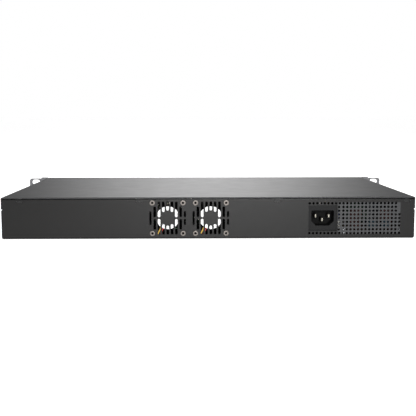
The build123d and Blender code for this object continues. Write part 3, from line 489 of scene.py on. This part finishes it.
def repainted(node, choose):
    """A copy that stands for a CAD node, with the finish that choose gives each polygon.

    choose gets the solid's place in the order along X, its top in Z, and the polygon."""
    mesh = nodes[node].data.copy()
    mesh.name = f"{node}_painted"
    mesh.materials.clear()
    made = bpy.data.objects.new(mesh.name, mesh)
    scene.collection.objects.link(made)
    numbers = {}
    for order, (polygons, low, high) in enumerate(solids_of(mesh)):
        for polygon in polygons:
            material = choose(order, high.z, polygon)
            if material not in numbers:
                numbers[material] = len(numbers)
                mesh.materials.append(material)
            polygon.material_index = numbers[material]
    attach(made, "chassis")
    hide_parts(node)


def in_order(colours):
    """Gives each solid its colour from a list that runs along X."""
    return lambda order, top, polygon: colours[order]


rim_depth = 0.0004
facing_up = 0.9


def can_finish(order, top, polygon):
    """Bare metal on a can's top, sleeve on the rest."""
    on_top = polygon.center.z > top - rim_depth and polygon.normal.z > facing_up
    return can_top if on_top else can_sleeve


for number in (1, 2):
    repainted(f"fan_{number}_leads", in_order((lead_red, lead_black, lead_yellow)))

repainted("supply_leads", in_order((lead_black, lead_red, lead_black, lead_yellow)))


for node in ("psu_capacitors", "board_capacitors"):
    repainted(node, can_finish)


# ---------------------------------------------------------------- printed port numbers

def port_numbers(places, face, height):
    """Small printed numbers on the front, as one thin mesh; places are (number, x, z)."""
    form = bmesh.new()
    for number, x, z in places:
        text = bpy.data.curves.new("number", "FONT")
        text.body = str(number)
        text.size = height
        text.align_x = "CENTER"
        text.align_y = "CENTER"
        text.extrude = ink_thickness
        stand = bpy.data.objects.new("number", text)
        scene.collection.objects.link(stand)
        scene.view_layers[0].update()
        solved = stand.evaluated_get(bpy.context.evaluated_depsgraph_get())
        mesh = bpy.data.meshes.new_from_object(solved)
        mesh.transform(Matrix.Translation((x, face, z)) @ Matrix.Rotation(math.pi / 2, 4, "X"))
        form.from_mesh(mesh)
        bpy.data.objects.remove(stand)
        bpy.data.curves.remove(text)
        bpy.data.meshes.remove(mesh)
    merged = bpy.data.meshes.new("port_numbers")
    form.to_mesh(merged)
    form.free()
    merged.materials.append(ink_white)
    made = bpy.data.objects.new("port_numbers", merged)
    scene.collection.objects.link(made)
    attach(made, "chassis")


ink_thickness = 0.00002
number_height = 0.0024
front_face = -0.13002
block_middles = (-0.073, 0.023)
block_columns = 6
jack_pitch = 0.01397
upper_number_z = 0.0357
lower_number_z = 0.0034
bay_count = 4
bay_middle = 0.120
bay_pitch = 0.0147
bay_number_z = 0.0195

number_places = []
number = 1
for middle in block_middles:
    for column in range(block_columns):
        x = middle + (column - (block_columns - 1) / 2) * jack_pitch
        number_places += [(number, x, upper_number_z), (number + 1, x, lower_number_z)]
        number += 2
for bay in range(bay_count):
    x = bay_middle + (bay - (bay_count - 1) / 2) * bay_pitch
    number_places.append((number + bay, x, bay_number_z))
port_numbers(number_places, front_face, number_height)


# ---------------------------------------------------------------- floor, light and camera

centre = (cad_low + cad_high) / 2
floor_half_width = 30.0
floor_drop = 0.0002

# The strip stands beyond the front; it fades out over its half angle and between two heights.
strip_shift = -0.018
strip_half_angle = 15.0
strip_light = 3.0
strip_fade = (0.25, 0.85)
# The dome is this bright behind the object, and this bright beyond the front.
dome_light = (0.30, 0.13)
# Each softbox: its place, its width, its power in watts, and the spread of its beam in degrees.
softbox_top = ((0.0, -0.1, 1.5), 1.4, 22.0, 180)
softbox_rear = ((-0.10, 1.7, 0.32), 0.5, 1.4, 36)

camera_place = (0.0147516, 0.9116636, 0.1272274)
camera_angles = (-0.0176386, 0.1206735, -0.0006784)
camera_lens = 65.4


def floor():
    """A pale floor that runs far behind the object, a little self-lit like a lit table."""
    mesh = bpy.data.meshes.new("floor")
    form = bmesh.new()
    bmesh.ops.create_grid(form, x_segments=2, y_segments=2, size=floor_half_width)
    form.to_mesh(mesh)
    form.free()
    made = bpy.data.objects.new("floor", mesh)
    made.location = (0, 0, -floor_drop)
    scene.collection.objects.link(made)
    s = Surface("floor_paper")
    s.colour(s.mixed(s.spread(s.noise(0.4, 2), 0.0, 1.0), (0.90, 0.90, 0.90), (0.93, 0.93, 0.93)))
    s.rough(s.spread(s.noise(0.3, 2), 0.85, 0.95))
    s.set(Specular_IOR_Level=0.1, Emission_Color=(1.0, 1.0, 1.0, 1.0), Emission_Strength=0.75)
    mesh.materials.append(s.material)


def area_light(name, place, size, power, spread):
    """A square softbox that faces the object's middle."""
    data = bpy.data.lights.new(name, "AREA")
    data.energy = power
    data.size = size
    data.spread = math.radians(spread)
    made = bpy.data.objects.new(name, data)
    made.location = place
    made.rotation_mode = "QUATERNION"
    made.rotation_quaternion = (centre - Vector(place)).to_track_quat("-Z", "Y")
    scene.collection.objects.link(made)


def studio():
    """A white surround whose light is an even dome and one soft upright strip beyond the front."""
    world = bpy.data.worlds.new("studio")
    scene.world = world
    world.use_nodes = True
    tree = world.node_tree
    background = tree.nodes["Background"]
    background.inputs["Color"].default_value = (1.0, 1.0, 1.0, 1.0)
    split = tree.nodes.new("ShaderNodeSeparateXYZ")
    tree.links.new(tree.nodes.new("ShaderNodeTexCoord").outputs["Generated"], split.inputs["Vector"])

    def maths(operation, first, second=0.0):
        """Two values put together; either may be a plain number."""
        made = tree.nodes.new("ShaderNodeMath")
        made.operation = operation
        for socket, value in zip(made.inputs, (first, second)):
            if isinstance(value, float):
                socket.default_value = value
            else:
                tree.links.new(value, socket)
        return made.outputs["Value"]

    def ramp(value, start, stop, low, high):
        """A smooth run from low to high as a value goes from start to stop."""
        made = tree.nodes.new("ShaderNodeMapRange")
        made.interpolation_type = "SMOOTHSTEP"
        for key, number in (("From Min", start), ("From Max", stop), ("To Min", low), ("To Max", high)):
            made.inputs[key].default_value = number
        tree.links.new(value, made.inputs["Value"])
        return made.outputs["Result"]

    backward = maths("MULTIPLY", split.outputs["Y"], -1.0)
    turn = maths("ARCTAN2", maths("SUBTRACT", split.outputs["X"], strip_shift), backward)
    strip = ramp(maths("ABSOLUTE", turn), 0.0, math.radians(strip_half_angle), strip_light, 0.0)
    low_part = ramp(split.outputs["Z"], *strip_fade, 1.0, 0.0)
    dome = ramp(backward, -0.5, 0.5, *dome_light)
    light = maths("ADD", dome, maths("MULTIPLY", strip, low_part))
    seen = tree.nodes.new("ShaderNodeLightPath").outputs["Is Camera Ray"]
    # The camera sees plain white, and every other ray gets the light.
    unseen = maths("MULTIPLY", maths("SUBTRACT", 1.0, seen), light)
    shown = maths("ADD", seen, unseen)
    tree.links.new(shown, background.inputs["Strength"])
    area_light("softbox_top", *softbox_top)
    area_light("softbox_rear", *softbox_rear)


def photo_camera():
    """Behind and a little above the object, close enough to see the cover taper away."""
    yaw, pitch, roll = camera_angles
    flat = math.cos(pitch)
    forward = Vector((math.sin(yaw) * flat, -math.cos(yaw) * flat, -math.sin(pitch)))
    level = Vector((-math.cos(yaw), -math.sin(yaw), 0.0))
    upright = level.cross(forward)
    right = math.cos(roll) * level + math.sin(roll) * upright
    up = -math.sin(roll) * level + math.cos(roll) * upright
    data = bpy.data.cameras.new("camera")
    data.sensor_width = 36.0
    data.lens = camera_lens
    data.clip_start = 0.01
    data.clip_end = 100.0
    made = bpy.data.objects.new("camera", data)
    turn = Matrix((right, up, -forward)).transposed().to_4x4()
    made.matrix_world = Matrix.Translation(Vector(camera_place)) @ turn
    scene.collection.objects.link(made)
    scene.camera = made


floor()
studio()
photo_camera()
scene.view_settings.view_transform = "Standard"
